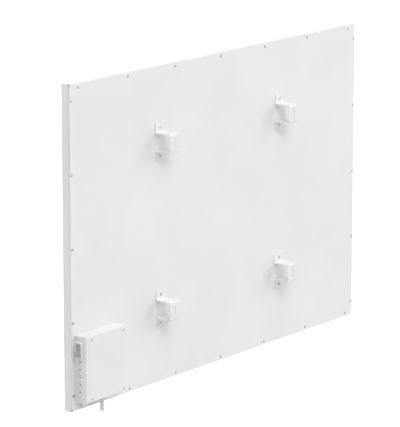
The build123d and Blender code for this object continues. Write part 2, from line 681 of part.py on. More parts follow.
def terminal_block():
    """Moulded block: a base with one rounded tower to a pole, open for wires, bars and screws."""
    z_low = BLOCK_Z - BLOCK_LENGTH / 2
    half = POLE_COUNT * POLE_PITCH / 2
    top = BOX_FLOOR + BLOCK_HEIGHT
    body = block(BLOCK_X - half, BLOCK_X + half, BOX_FLOOR, BOX_FLOOR + BLOCK_BASE, z_low, BLOCK_TOP)
    for x in pole_spots():
        tower = block(x - POLE_WIDTH / 2, x + POLE_WIDTH / 2, BOX_FLOOR, top, z_low, BLOCK_TOP)
        body += fillet(tower.edges().filter_by(Axis.Z).group_by(Axis.Y)[-1], POLE_ROUND)
        body -= Pos(x, WIRE_LEVEL, BLOCK_Z) * Box(CLAMP_SIZE, CLAMP_SIZE, BLOCK_LENGTH)
    for x, z in clamp_screw_spots():
        body -= small_peg(CLAMP_SCREW + HOLE_CLEARANCE, WIRE_LEVEL, top, x, z)
    for x in foot_spots():
        body += snap_foot(x)
    return body


def earth_pole():
    """X of the earth pole and of the stud above it."""
    return pole_spots()[-1]


def earth_stud():
    """Stud with a round foot on the box's floor."""
    stud = small_peg(STUD_FOOT_RADIUS, BOX_FLOOR, BOX_FLOOR + STUD_FOOT, earth_pole(), STUD_Z)
    return stud + small_peg(STUD_RADIUS, BOX_FLOOR, BOX_FLOOR + STUD_LENGTH, earth_pole(), STUD_Z)


def tag_seat():
    """Height of the ring tag's underside, which brings its barrel level with the wire."""
    return WIRE_LEVEL - TAG_SHEET / 2


def nut(y_low):
    """Hexagon nut on the stud."""
    hexagon = RegularPolygon(NUT_FLATS / 2, 6, major_radius=False)
    body = along_y(hexagon, y_low, y_low + NUT_THICKNESS, earth_pole(), STUD_Z)
    bore = small_peg(STUD_RADIUS + HOLE_CLEARANCE, y_low, y_low + NUT_THICKNESS, earth_pole(), STUD_Z)
    return body - bore


def earth_nuts():
    """Lock nut under the ring tag and clamping nut over it."""
    return [nut(tag_seat() - NUT_THICKNESS), nut(tag_seat() + TAG_SHEET)]


def earth_tag():
    """Ring tag on the stud, with its crimped barrel towards the block."""
    x = earth_pole()
    low = tag_seat()
    ring = small_peg(TAG_RADIUS, low, low + TAG_SHEET, x, STUD_Z)
    neck_end = STUD_Z - TAG_RADIUS - TAG_SHEET
    ring += slab(TAG_NECK, STUD_Z - neck_end, low, low + TAG_SHEET, x, (STUD_Z + neck_end) / 2)
    ring -= small_peg(STUD_RADIUS + HOLE_CLEARANCE, low, low + TAG_SHEET, x, STUD_Z)
    return ring + tag_barrel(x, neck_end)


def tag_barrel(x, z_high):
    """Closed barrel of the ring tag."""
    top = Pos(x, WIRE_LEVEL, z_high)
    return top * extrude(RegularPolygon(TAG_BARREL, SMALL_SIDES), amount=-TAG_BARREL_LENGTH)


# ---- Wiring ----
def grommet():
    """Grooved ring where the leads pass through the floor and the back plate."""
    low = PLATE_IN - GROMMET_RIM_THICKNESS
    high = BOX_FLOOR + GROMMET_RIM_THICKNESS
    ring = small_peg(GROMMET_NECK, PLATE_IN, BOX_FLOOR, GROMMET_X, LOAD_Z)
    ring += small_peg(GROMMET_RIM, low, PLATE_IN, GROMMET_X, LOAD_Z)
    ring += small_peg(GROMMET_RIM, BOX_FLOOR, high, GROMMET_X, LOAD_Z)
    return ring - small_peg(GROMMET_BORE, low, high, GROMMET_X, LOAD_Z)


def live_feed():
    """Block to the switch, live side."""
    x = pole_spots()[1]
    points = [
        (x, WIRE_LEVEL, BLOCK_TOP - WIRE_ENTRY),
        (x, WIRE_LEVEL, FEED_Z - WIRE_SWEEP_BEND),
        (x + WIRE_SWEEP_BEND, LIVE_Y, FEED_Z),
        (TAG_END_X, LIVE_Y, FEED_Z),
    ]
    return round_bar(points, WIRE_BEND, WIRE_RADIUS)


def neutral_feed():
    """Block to the switch, neutral side."""
    x = pole_spots()[0]
    points = [
        (x, WIRE_LEVEL, BLOCK_TOP - WIRE_ENTRY),
        (x, WIRE_LEVEL, FEED_Z),
        (TAG_END_X, NEUTRAL_Y, FEED_Z),
    ]
    return round_bar(points, WIRE_SWEEP_BEND, WIRE_RADIUS)


def panel_lead(y, side, end_x):
    """Switch to the grommet, down through it and along the board."""
    drop_x = GROMMET_X + side * GROMMET_WIRE_OFFSET
    points = [
        (TAG_END_X, y, LOAD_Z),
        (drop_x, y, LOAD_Z),
        (drop_x, LEAD_LEVEL, LOAD_Z),
        (end_x, LEAD_LEVEL, LOAD_Z),
    ]
    return round_bar(points, WIRE_DROP_BEND, WIRE_RADIUS)


def live_lead():
    """Live lead from the switch to the cut-out."""
    return panel_lead(LIVE_Y, -1, CUTOUT_X + CUTOUT_RADIUS + LUG_LENGTH)


def neutral_lead():
    """Neutral lead from the switch to the near busbar."""
    return panel_lead(NEUTRAL_Y, 1, BUSBAR_X - LUG_LENGTH / 2)


def element_lead():
    """Live lead from the cut-out to the far busbar."""
    start = CUTOUT_X - CUTOUT_RADIUS - LUG_LENGTH
    end = -BUSBAR_X + LUG_LENGTH / 2
    return round_bar([(start, LEAD_LEVEL, LOAD_Z), (end, LEAD_LEVEL, LOAD_Z)], 0, WIRE_RADIUS)


def earth_wire():
    """Block to the barrel of the ring tag."""
    x = earth_pole()
    barrel_end = STUD_Z - TAG_RADIUS - TAG_SHEET - TAG_BARREL_LENGTH
    points = [(x, WIRE_LEVEL, BLOCK_TOP - WIRE_ENTRY), (x, WIRE_LEVEL, barrel_end)]
    return round_bar(points, 0, WIRE_RADIUS)


def heater_nodes():
    """Every sub-part by name, a list where identical pieces share a name."""
    bracket_seat = PANEL_BACK + BRACKET_SHEET
    nodes = {
        "front_tray": front_tray(),
        "back_plate": back_plate(),
        "edge_rivets": edge_rivets(),
        "bracket_rivets": [through_rivet(x, z, bracket_seat) for x, z in bracket_rivet_spots()],
        "heating_mat": heating_mat(),
        "busbars": busbars(),
        "busbar_lugs": [busbar_lug(side) for side in (1, -1)],
        "reflective_foil": reflective_foil(),
        "insulation_board": insulation_board(),
        "thermal_cutout": thermal_cutout(),
        "junction_box_body": junction_box_body(),
        "junction_box_lid": junction_box_lid(),
        "lid_screws": [lid_screw(x, z) for x, z in lid_screw_spots()],
        "box_rivets": [through_rivet(x, z, BOX_FLOOR) for x, z in box_rivet_spots()],
        "lead_out_sleeve": lead_out_sleeve(),
        "switch_housing": switch_housing(),
        "switch_rocker": switch_rocker(),
        "switch_blades": [switch_blade(y, z) for y, z in blade_spots()],
        "push_on_tags": [push_on_tag(y, z) for y, z in blade_spots()],
        "terminal_block": terminal_block(),
        "clamp_bars": [clamp_bar(x) for x in pole_spots()],
        "clamp_screws": [clamp_screw(x, z) for x, z in clamp_screw_spots()],
        "earth_stud": earth_stud(),
        "earth_nuts": earth_nuts(),
        "earth_tag": earth_tag(),
        "grommet": grommet(),
        "wire_live_feed": live_feed(),
        "wire_neutral_feed": neutral_feed(),
        "wire_live_lead": live_lead(),
        "wire_neutral_lead": neutral_lead(),
        "wire_element_lead": element_lead(),
        "wire_earth": earth_wire(),
    }
    for name, (x, z) in bracket_spots().items():
        nodes["bracket_" + name] = bracket(x, z)
    return nodes


def main():
    """Writes one STEP file to a sub-part."""
    os.makedirs("parts", exist_ok=True)
    for name, shape in heater_nodes().items():
        pieces = shape if isinstance(shape, list) else [shape]
        solids = [solid for piece in pieces for solid in piece.solids()]
        export_step(Compound(children=solids), "parts/" + name + ".step")


main()
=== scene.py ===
import json
from math import cos, radians, sin, tau

import bmesh
import bpy
from bpy.props import FloatProperty, IntProperty, PointerProperty, StringProperty
from mathutils import Matrix, Vector


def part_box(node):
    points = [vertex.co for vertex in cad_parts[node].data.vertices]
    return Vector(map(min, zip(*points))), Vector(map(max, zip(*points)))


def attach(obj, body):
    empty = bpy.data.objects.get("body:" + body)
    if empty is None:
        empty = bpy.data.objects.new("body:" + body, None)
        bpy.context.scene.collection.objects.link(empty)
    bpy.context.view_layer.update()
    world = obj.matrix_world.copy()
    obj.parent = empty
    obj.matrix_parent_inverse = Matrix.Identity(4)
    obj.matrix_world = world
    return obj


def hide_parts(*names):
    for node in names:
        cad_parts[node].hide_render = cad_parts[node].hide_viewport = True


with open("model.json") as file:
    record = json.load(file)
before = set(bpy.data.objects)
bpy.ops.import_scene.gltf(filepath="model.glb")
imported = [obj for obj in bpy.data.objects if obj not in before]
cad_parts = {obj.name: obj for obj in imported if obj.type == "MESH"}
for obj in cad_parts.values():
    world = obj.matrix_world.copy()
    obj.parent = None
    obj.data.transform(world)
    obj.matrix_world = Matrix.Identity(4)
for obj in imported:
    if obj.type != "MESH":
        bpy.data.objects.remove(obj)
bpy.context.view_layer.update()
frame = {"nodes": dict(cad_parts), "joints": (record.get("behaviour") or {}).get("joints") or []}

bl_info = {
    "name": "Infrared Panel Heater",
    "version": (1, 0, 0),
    "blender": (4, 5, 0),
    "location": "3D View > Sidebar > Heater",
    "description": "Finishes and small turned parts of a wall-hung infrared panel heater",
    "category": "Add Mesh",
}

MM = 0.001
NODES = frame["nodes"]

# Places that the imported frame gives
BRACKETS = ("bracket_upper_left", "bracket_upper_right", "bracket_lower_left", "bracket_lower_right")
PLATE_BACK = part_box("back_plate")[1].y
SWITCH = frame["joints"][0]


def middle(node):
    """Centre of a node's box."""
    low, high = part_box(node)
    return (low + high) / 2


# ---- Settings ----
class RivetSettings(bpy.types.PropertyGroup):
    """Blind rivets of the back plate and the brackets."""

    head_radius: FloatProperty(
        name="Head radius", description="Outer radius of a head", default=2.9 * MM, unit="LENGTH"
    )
    head_rise: FloatProperty(
        name="Head rise", description="Height of the dome", default=1.1 * MM, unit="LENGTH"
    )
    rim: FloatProperty(
        name="Rim", description="Upright rim below the dome", default=0.3 * MM, unit="LENGTH"
    )
    pin_radius: FloatProperty(
        name="Pin radius", description="Broken pin in the head", default=0.85 * MM, unit="LENGTH"
    )
    pin_sink: FloatProperty(
        name="Pin sink", description="Pin below the dome", default=0.35 * MM, unit="LENGTH"
    )
    row_pitch: FloatProperty(
        name="Row pitch", description="Rivets along a row", default=141.25 * MM, unit="LENGTH"
    )
    row_count: IntProperty(name="Row count", description="Rivets in a row", default=7, min=2)
    column_pitch: FloatProperty(
        name="Column pitch", description="Rivets up a side", default=135.1 * MM, unit="LENGTH"
    )
    column_count: IntProperty(name="Column count", description="Rivets up a side", default=5, min=2)
    shank_radius: FloatProperty(
        name="Shank radius", description="Below the head", default=1.55 * MM, unit="LENGTH"
    )
    cad_radius: FloatProperty(
        name="Solid's radius", description="Head of the solid", default=3.0 * MM, unit="LENGTH"
    )
    cad_rise: FloatProperty(
        name="Solid's rise", description="Head of the solid", default=1.1 * MM, unit="LENGTH"
    )
    bracket_offset: FloatProperty(
        name="Bracket offset", description="Bracket's centre to its rivets", default=27.3 * MM, unit="LENGTH"
    )


class ScrewSettings(bpy.types.PropertyGroup):
    """Pan head screws of the lid."""

    head_radius: FloatProperty(
        name="Head radius", description="Outer radius", default=2.8 * MM, unit="LENGTH"
    )
    head_rise: FloatProperty(
        name="Head rise", description="Height of the head", default=1.6 * MM, unit="LENGTH"
    )
    recess_length: FloatProperty(
        name="Recess length", description="Cross recess", default=3.0 * MM, unit="LENGTH"
    )
    recess_width: FloatProperty(
        name="Recess width", description="Cross recess", default=0.7 * MM, unit="LENGTH"
    )
    recess_depth: FloatProperty(
        name="Recess depth", description="Cross recess", default=0.9 * MM, unit="LENGTH"
    )
    shank_radius: FloatProperty(
        name="Shank radius", description="Below the head", default=1.4 * MM, unit="LENGTH"
    )


class RockerSettings(bpy.types.PropertyGroup):
    """Rocker of the switch."""

    width: FloatProperty(name="Width", description="Along the pivot", default=9.4 * MM, unit="LENGTH")
    radius: FloatProperty(
        name="Radius", description="Pivot to its ends", default=12.2 * MM, unit="LENGTH"
    )
    end_rise: FloatProperty(
        name="End rise", description="Pivot to the ends' finger face", default=5.4 * MM, unit="LENGTH"
    )
    waist_rise: FloatProperty(
        name="Waist rise", description="Pivot to the waist", default=3.6 * MM, unit="LENGTH"
    )
    skirt: FloatProperty(
        name="Skirt", description="Pivot to the underside", default=3.5 * MM, unit="LENGTH"
    )
    tilt: FloatProperty(name="Tilt", description="Tilt at rest", default=radians(11), subtype="ANGLE")
    waist_round: FloatProperty(
        name="Waist rounding", description="Between the wings", default=5.0 * MM, unit="LENGTH"
    )
    edge: FloatProperty(
        name="Edge", description="Rounding of the edges", default=0.5 * MM, unit="LENGTH"
    )
    pin_radius: FloatProperty(
        name="Pin radius", description="Pivot pins", default=1.25 * MM, unit="LENGTH"
    )


class SleeveSettings(bpy.types.PropertyGroup):
    """Lead-out sleeve below the junction box."""

    radius: FloatProperty(name="Radius", description="Outer radius", default=4.0 * MM, unit="LENGTH")
    bore: FloatProperty(name="Bore", description="Inner radius", default=2.6 * MM, unit="LENGTH")
    collar: FloatProperty(
        name="Collar", description="Collar's radius in the box", default=5.5 * MM, unit="LENGTH"
    )
    neck: FloatProperty(name="Neck", description="Radius in the wall", default=3.45 * MM, unit="LENGTH")
    collar_rise: FloatProperty(
        name="Collar rise", description="Collar's thickness", default=2.0 * MM, unit="LENGTH"
    )
    wall: FloatProperty(name="Wall", description="Sheet that it passes", default=1.0 * MM, unit="LENGTH")
    edge: FloatProperty(name="Edge", description="Rounding of its end", default=0.5 * MM, unit="LENGTH")


class ColourSettings(bpy.types.PropertyGroup):
    """Colours as sRGB hex values."""

    coat: StringProperty(name="Coat", description="Powder coat", default="#EDEDEE")
    coat_thin: StringProperty(
        name="Thin coat", description="Powder coat in its clouds", default="#E9E9EB"
    )
    rivet: StringProperty(name="Rivet", description="Set aluminium", default="#B6B7BA")
    rivet_scuffed: StringProperty(
        name="Scuffed rivet", description="Set aluminium where it is scuffed", default="#A2A3A6"
    )
    screw: StringProperty(name="Screw", description="Zinc plate", default="#C6C8CB")
    screw_worn: StringProperty(
        name="Worn screw", description="Zinc plate where it is dull", default="#B2B4B8"
    )
    bezel: StringProperty(name="Bezel", description="Switch housing", default="#F1F1EF")
    bezel_shade: StringProperty(name="Bezel's clouds", description="Switch housing", default="#ECECEA")
    rocker: StringProperty(name="Rocker", description="Switch rocker", default="#A4A6A9")
    rocker_shade: StringProperty(name="Rocker's clouds", description="Switch rocker", default="#9C9EA1")
    sleeve: StringProperty(name="Sleeve", description="Lead-out sleeve", default="#E4E4E2")
    sleeve_shade: StringProperty(
        name="Sleeve's clouds", description="Lead-out sleeve", default="#DADAD8"
    )


class StageSettings(bpy.types.PropertyGroup):
    """Floor, light and camera."""

    floor_drop: FloatProperty(
        name="Floor drop", description="Wall centre to the floor", default=1.3, unit="LENGTH"
    )
    floor_size: FloatProperty(
        name="Floor size", description="Side of the floor", default=60.0, unit="LENGTH"
    )
    floor_lift: FloatProperty(
        name="Floor lift", description="White added to the seen floor", default=0.8, min=0
    )
    sky: FloatProperty(name="Sky", description="Even light from all round", default=0.03, min=0)
    lamp_distance: FloatProperty(
        name="Lamp distance", description="Lamp to the panel", default=16.0, unit="LENGTH"
    )
    lens: FloatProperty(
        name="Lens", description="Focal length in millimetres", default=247.62, unit="CAMERA"
    )


class HeaterSettings(bpy.types.PropertyGroup):
    """Every group of settings."""

    rivets: PointerProperty(type=RivetSettings)
    screws: PointerProperty(type=ScrewSettings)
    rocker: PointerProperty(type=RockerSettings)
    sleeve: PointerProperty(type=SleeveSettings)
    colours: PointerProperty(type=ColourSettings)
    stage: PointerProperty(type=StageSettings)


def settings():
    """The scene's settings of the heater."""
    return bpy.context.scene.panel_heater


# ---- Shader helpers ----
def linear(hex_colour):
    """sRGB hex value as linear red, green, blue and alpha."""
    digits = hex_colour.lstrip("#")
    levels = [int(digits[i : i + 2], 16) / 255 for i in (0, 2, 4)]
    return [c / 12.92 if c <= 0.04045 else ((c + 0.055) / 1.055) ** 2.4 for c in levels] + [1.0]


def across(size_mm):
    """Scale of a pattern whose features are this many millimetres across."""
    return 1 / (size_mm * MM)


def join(tree, node, links):
    """Joins sockets, or the first output of nodes, to a node's inputs."""
    for name, source in links.items():
        tree.links.new(getattr(source, "outputs", [source])[0], node.inputs[name])


def add(tree, kind, values=None, links=None):
    """Adds a node, sets its sockets, colour stops or attributes and joins its inputs."""
    node = tree.nodes.new(kind)
    for name, value in (values or {}).items():
        if name == "stops":
            for element, (position, colour) in zip(node.color_ramp.elements, value):
                element.position, element.color = position, linear(colour)
        elif isinstance(name, int) or name in node.inputs:
            node.inputs[name].default_value = value
        else:
            setattr(node, name, value)
    join(tree, node, links or {})
    return node


def start(name, roughness, metallic=0.0, ior=1.5):
    """New material: its tree, its shader and the object's own coordinates in metres."""
    material = bpy.data.materials.new(name)
    material.use_nodes = True
    tree = material.node_tree
    shader = tree.nodes["Principled BSDF"]
    for socket, value in {"Roughness": roughness, "Metallic": metallic, "IOR": ior}.items():
        shader.inputs[socket].default_value = value
    return material, tree, shader, add(tree, "ShaderNodeTexCoord").outputs["Object"]


# ---- Materials ----
def powder_coated_steel():
    """Polyester powder baked on thin steel sheet."""
    # To the eye: satin white, soft clouds where the coat is thinner, a patchy sheen, a faint orange peel
    # and sheet that isn't quite flat
    colour = settings().colours
    material, tree, shader, place = start("powder_coated_steel", roughness=0.45)
    cloud = add(tree, "ShaderNodeTexNoise", {"Scale": across(160)}, {"Vector": place})
    shades = {"stops": [(0.3, colour.coat_thin), (0.7, colour.coat)]}
    tone = add(tree, "ShaderNodeValToRGB", shades, {"Fac": cloud})
    patches = add(tree, "ShaderNodeTexNoise", {"Scale": across(35)}, {"Vector": place})
    gloss = add(tree, "ShaderNodeMapRange", {"To Min": 0.40, "To Max": 0.50}, {"Value": patches})
    sag = add(tree, "ShaderNodeTexNoise", {"Scale": across(220), "Detail": 0.0}, {"Vector": place})
    sheet = add(tree, "ShaderNodeBump", {"Distance": 0.25 * MM}, {"Height": sag})
    # Real orange peel is 1 to 2 mm across, finer than a pixel of the photograph's view: drawn at 5 mm, so
    # that it shows
    peel = add(tree, "ShaderNodeTexNoise", {"Scale": across(5)}, {"Vector": place})
    skin = add(tree, "ShaderNodeBump", {"Distance": 0.07 * MM}, {"Height": peel, "Normal": sheet})
    join(tree, shader, {"Base Color": tone, "Roughness": gloss, "Normal": skin})
    return material


def scuffed_metal(name, dark, light, roughness, scuff_mm, dent_mm):
    """Cold-formed small metal part."""
    # To the eye: two near tones, a patchy sheen and shallow dents from the tool
    # Real scuffs are 0.2 mm across, far finer than a pixel: drawn about as wide as a head, with finer ones
    # in them, so that one head differs from the next
    material, tree, shader, place = start(name, roughness, metallic=1.0)
    scuffs = add(tree, "ShaderNodeTexNoise", {"Scale": across(scuff_mm), "Detail": 3.0}, {"Vector": place})
    tone = add(tree, "ShaderNodeValToRGB", {"stops": [(0.35, dark), (0.65, light)]}, {"Fac": scuffs})
    spread = {"To Min": roughness - 0.08, "To Max": roughness + 0.12}
    sheen = add(tree, "ShaderNodeMapRange", spread, {"Value": scuffs})
    dents = add(tree, "ShaderNodeTexNoise", {"Scale": across(scuff_mm / 2)}, {"Vector": place})
    skin = add(tree, "ShaderNodeBump", {"Distance": dent_mm * MM}, {"Height": dents})
    join(tree, shader, {"Base Color": tone, "Roughness": sheen, "Normal": skin})
    return material


def set_aluminium():
    """Aluminium of a set blind rivet."""
    # To the eye: dull grey, scuffed by the riveting nose
    shades = settings().colours.rivet_scuffed, settings().colours.rivet
    return scuffed_metal("set_aluminium", *shades, roughness=0.46, scuff_mm=4.0, dent_mm=0.05)


def zinc_plated_steel():
    """Zinc plate on cold-formed steel."""
    # To the eye: pale bluish grey with a soft, patchy sheen
    shades = settings().colours.screw_worn, settings().colours.screw
    return scuffed_metal("zinc_plated_steel", *shades, roughness=0.44, scuff_mm=4.0, dent_mm=0.012)


def moulding(name, dark, light, roughness, grain_mm, depth_mm, ior=1.5):
    """Moulded part."""
    # To the eye: flow clouds in its colour and a spark-eroded grain that breaks up its sheen
    # Real grain is 0.05 to 0.1 mm across, far finer than a pixel: drawn at more than 1 mm, as deep for its
    # width, so that it shows on parts this small
    material, tree, shader, place = start(name, roughness, ior=ior)
    flow = add(tree, "ShaderNodeTexNoise", {"Scale": across(9)}, {"Vector": place})
    tone = add(tree, "ShaderNodeValToRGB", {"stops": [(0.3, dark), (0.7, light)]}, {"Fac": flow})
    spread = {"To Min": roughness - 0.05, "To Max": roughness + 0.06}
    sheen = add(tree, "ShaderNodeMapRange", spread, {"Value": flow})
    grain = add(tree, "ShaderNodeTexNoise", {"Scale": across(grain_mm)}, {"Vector": place})
    skin = add(tree, "ShaderNodeBump", {"Distance": depth_mm * MM}, {"Height": grain})
    join(tree, shader, {"Base Color": tone, "Roughness": sheen, "Normal": skin})
    return material


def moulded_abs_bezel():
    """Moulded ABS of the switch's housing."""
    # To the eye: off-white, even, lightly glossy
    shades = settings().colours.bezel_shade, settings().colours.bezel
    return moulding("moulded_abs_bezel", *shades, roughness=0.32, grain_mm=1.5, depth_mm=0.025, ior=1.53)


def moulded_abs_rocker():
    """Moulded ABS of the rocker."""
    # To the eye: mid grey with a grain for the finger
    shades = settings().colours.rocker_shade, settings().colours.rocker
    return moulding("moulded_abs_rocker", *shades, roughness=0.4, grain_mm=1.2, depth_mm=0.036, ior=1.53)


def moulded_pvc_sleeve():
    """Moulded soft PVC of the lead-out."""
    # To the eye: pale grey, matt, a little waxy
    shades = settings().colours.sleeve_shade, settings().colours.sleeve
    return moulding("moulded_pvc_sleeve", *shades, roughness=0.5, grain_mm=1.5, depth_mm=0.03)


def moulded_polyamide():
    """Moulded polyamide of the terminal block."""
    # To the eye: natural cream, matt
    shades = "#D3CFBF", "#DEDACB"
    return moulding("moulded_polyamide", *shades, roughness=0.48, grain_mm=1.5, depth_mm=0.025, ior=1.53)


def moulded_phenolic():
    """Pressed phenolic of the cut-out's body."""
    # To the eye: dark brown, dense and matt
    shades = "#4E3320", "#5A3B25"
    return moulding("moulded_phenolic", *shades, roughness=0.55, grain_mm=1.2, depth_mm=0.06, ior=1.6)


def moulded_rubber():
    """Moulded EPDM of the grommet."""
    # To the eye: soft matt black
    shades = "#202124", "#2A2B2E"
    return moulding("moulded_rubber", *shades, roughness=0.7, grain_mm=1.5, depth_mm=0.05)


def dipped_vinyl():
    """Dipped vinyl sleeve of a push-on tag."""
    # To the eye: dull red, slightly glossy, a little wavy where the dip ran
    shades = "#96201A", "#A8241C"
    return moulding("dipped_vinyl", *shades, roughness=0.4, grain_mm=1.5, depth_mm=0.02)


def silicone_wire(name, dark, light):
    """Extruded silicone insulation."""
    # To the eye: a matt skin with a faint bloom of talc in patches
    # Real talc grains and die marks are under 0.1 mm: the bloom is drawn at 5 mm and the marks at 0.8 mm,
    # so that they show on a wire this thin
    material, tree, shader, place = start(name, roughness=0.55, ior=1.41)
    bloom = add(tree, "ShaderNodeTexNoise", {"Scale": across(5), "Detail": 3.0}, {"Vector": place})
    tone = add(tree, "ShaderNodeValToRGB", {"stops": [(0.4, dark), (0.8, light)]}, {"Fac": bloom})
    sheen = add(tree, "ShaderNodeMapRange", {"To Min": 0.48, "To Max": 0.68}, {"Value": bloom})
    draw = add(tree, "ShaderNodeTexNoise", {"Scale": across(0.8)}, {"Vector": place})
    skin = add(tree, "ShaderNodeBump", {"Distance": 0.015 * MM}, {"Height": draw})
    join(tree, shader, {"Base Color": tone, "Roughness": sheen, "Normal": skin})
    return material


STRIPE_HALF_WIDTH = 0.35 * MM  # of the earth wire's yellow stripe


def silicone_earth_wire():
    """Extruded silicone insulation of the earth wire."""
    # To the eye: green with a yellow stripe down its middle, and die marks drawn as coarse as the other
    # wires' are
    material, tree, shader, place = start("silicone_earth_wire", roughness=0.55, ior=1.41)
    from_middle = {"operation": "SUBTRACT", 1: middle("wire_earth")}
    centred = add(tree, "ShaderNodeVectorMath", from_middle, {0: place})
    side = add(tree, "ShaderNodeSeparateXYZ", links={"Vector": centred})
    off_middle = add(tree, "ShaderNodeMath", {"operation": "ABSOLUTE"}, {0: side.outputs["X"]})
    near_middle = {"operation": "LESS_THAN", 1: STRIPE_HALF_WIDTH}
    stripe = add(tree, "ShaderNodeMath", near_middle, {0: off_middle})
    tone = add(tree, "ShaderNodeValToRGB", {"stops": [(0.4, "#2E7D3A"), (0.6, "#D9C32E")]}, {"Fac": stripe})
    draw = add(tree, "ShaderNodeTexNoise", {"Scale": across(0.8)}, {"Vector": place})
    skin = add(tree, "ShaderNodeBump", {"Distance": 0.015 * MM}, {"Height": draw})
    join(tree, shader, {"Base Color": tone, "Normal": skin})
    return material


def lined_metal(name, dark, light, roughness, line_mm, length_mm):
    """Drawn or rolled metal."""
    # To the eye: fine lines along Z, where the tool or the roll ran
    # Real lines are about 0.05 mm wide, far finer than a pixel: drawn many times as wide, so that they show
    material, tree, shader, place = start(name, roughness, metallic=1.0)
    along = {"Scale": (1, 1, line_mm / length_mm)}
    run = add(tree, "ShaderNodeMapping", along, {"Vector": place})
    lines = add(tree, "ShaderNodeTexNoise", {"Scale": across(line_mm), "Detail": 3.0}, {"Vector": run})
    tone = add(tree, "ShaderNodeValToRGB", {"stops": [(0.35, dark), (0.65, light)]}, {"Fac": lines})
    spread = {"To Min": roughness - 0.06, "To Max": roughness + 0.12}
    sheen = add(tree, "ShaderNodeMapRange", spread, {"Value": lines})
    join(tree, shader, {"Base Color": tone, "Roughness": sheen})
    return material


def drawn_brass():
    """Drawn brass bar."""
    # To the eye: warm yellow metal with fine lines along its length
    shades = "#B08D4A", "#CBA75E"
    return lined_metal("drawn_brass", *shades, roughness=0.3, line_mm=0.6, length_mm=12)


def rolled_copper_foil():
    """Rolled copper foil."""
    # To the eye: warm reddish metal with faint rolling lines up the strip
    shades = "#B4704F", "#CC8A66"
    return lined_metal("rolled_copper_foil", *shades, roughness=0.32, line_mm=1.2, length_mm=40)


def creased_aluminium_foil():
    """Rolled aluminium foil."""
    # To the eye: bright, creased about every 18 mm where it was smoothed down by hand
    material, tree, shader, place = start("creased_aluminium_foil", roughness=0.22, metallic=1.0)
    film = add(tree, "ShaderNodeTexNoise", {"Scale": across(30)}, {"Vector": place})
    tone = add(tree, "ShaderNodeValToRGB", {"stops": [(0.3, "#C6C8CB"), (0.7, "#D6D8DA")]}, {"Fac": film})
    folds = {"Scale": across(18), "feature": "DISTANCE_TO_EDGE"}
    creases = add(tree, "ShaderNodeTexVoronoi", folds, {"Vector": place})
    skin = add(tree, "ShaderNodeBump", {"Distance": 0.3 * MM}, {"Height": creases})
    join(tree, shader, {"Base Color": tone, "Normal": skin})
    return material


def pressed_mineral_wool():
    """Pressed mineral wool."""
    # To the eye: buff and matt, with short tangled fibres
    # A real fibre is under 0.01 mm thick: tufts of 3 mm are drawn instead, so that the tangle shows
    material, tree, shader, place = start("pressed_mineral_wool", roughness=0.95)
    lay = add(tree, "ShaderNodeMapping", {"Scale": (1, 1, 0.3)}, {"Vector": place})
    fibres = add(tree, "ShaderNodeTexNoise", {"Scale": across(3), "Detail": 6.0}, {"Vector": lay})
    tone = add(tree, "ShaderNodeValToRGB", {"stops": [(0.3, "#B8A27A"), (0.7, "#D8C79F")]}, {"Fac": fibres})
    skin = add(tree, "ShaderNodeBump", {"Distance": 0.8 * MM}, {"Height": fibres})
    join(tree, shader, {"Base Color": tone, "Normal": skin})
    return material


def laminated_carbon_film():
    """Carbon print laminated in polyester film."""
    # To the eye: near black and glossy, in faint level stripes of print
    material, tree, shader, place = start("laminated_carbon_film", roughness=0.25, ior=1.6)
    ink = add(tree, "ShaderNodeTexNoise", {"Scale": across(6)}, {"Vector": place})
    tone = add(tree, "ShaderNodeValToRGB", {"stops": [(0.3, "#1B1C1F"), (0.7, "#25262A")]}, {"Fac": ink})
    bands = {"Scale": across(60), "bands_direction": "Z"}
    stripes = add(tree, "ShaderNodeTexWave", bands, {"Vector": place})
    skin = add(tree, "ShaderNodeBump", {"Distance": 0.05 * MM}, {"Height": stripes})
    join(tree, shader, {"Base Color": tone, "Normal": skin})
    return material


def backdrop_rays(tree):
    """1 for rays that see the backdrop: straight from the camera, or by gloss or glass."""
    path = add(tree, "ShaderNodeLightPath").outputs
    either = {"operation": "MAXIMUM"}
    gloss = add(tree, "ShaderNodeMath", either, {0: path["Is Glossy Ray"], 1: path["Is Transmission Ray"]})
    return add(tree, "ShaderNodeMath", either, {0: path["Is Camera Ray"], 1: gloss})


def pale_floor():
    """Matt studio floor."""
    # To the eye: the backdrop's white where it is lit, fainter in a shadow, and clear from below
    values = settings().stage
    material, tree, shader, place = start("pale_floor", roughness=0.9)
    cloud = add(tree, "ShaderNodeTexNoise", {"Scale": across(900)}, {"Vector": place})
    tone = add(tree, "ShaderNodeValToRGB", {"stops": [(0.3, "#D6D6D5"), (0.7, "#DADAD9")]}, {"Fac": cloud})
    join(tree, shader, {"Base Color": tone})
    lift = {"operation": "MULTIPLY", 1: values.floor_lift}
    strength = add(tree, "ShaderNodeMath", lift, {0: backdrop_rays(tree)})
    glow = add(tree, "ShaderNodeEmission", {"Color": linear("#FFFFFF")}, {"Strength": strength})
    lit = add(tree, "ShaderNodeAddShader", {}, {0: shader, 1: glow})
    clear = add(tree, "ShaderNodeBsdfTransparent")
    below = add(tree, "ShaderNodeNewGeometry").outputs["Backfacing"]
    sided = add(tree, "ShaderNodeMixShader", {}, {0: below, 1: lit, 2: clear})
    join(tree, tree.nodes["Material Output"], {"Surface": sided})
    return material


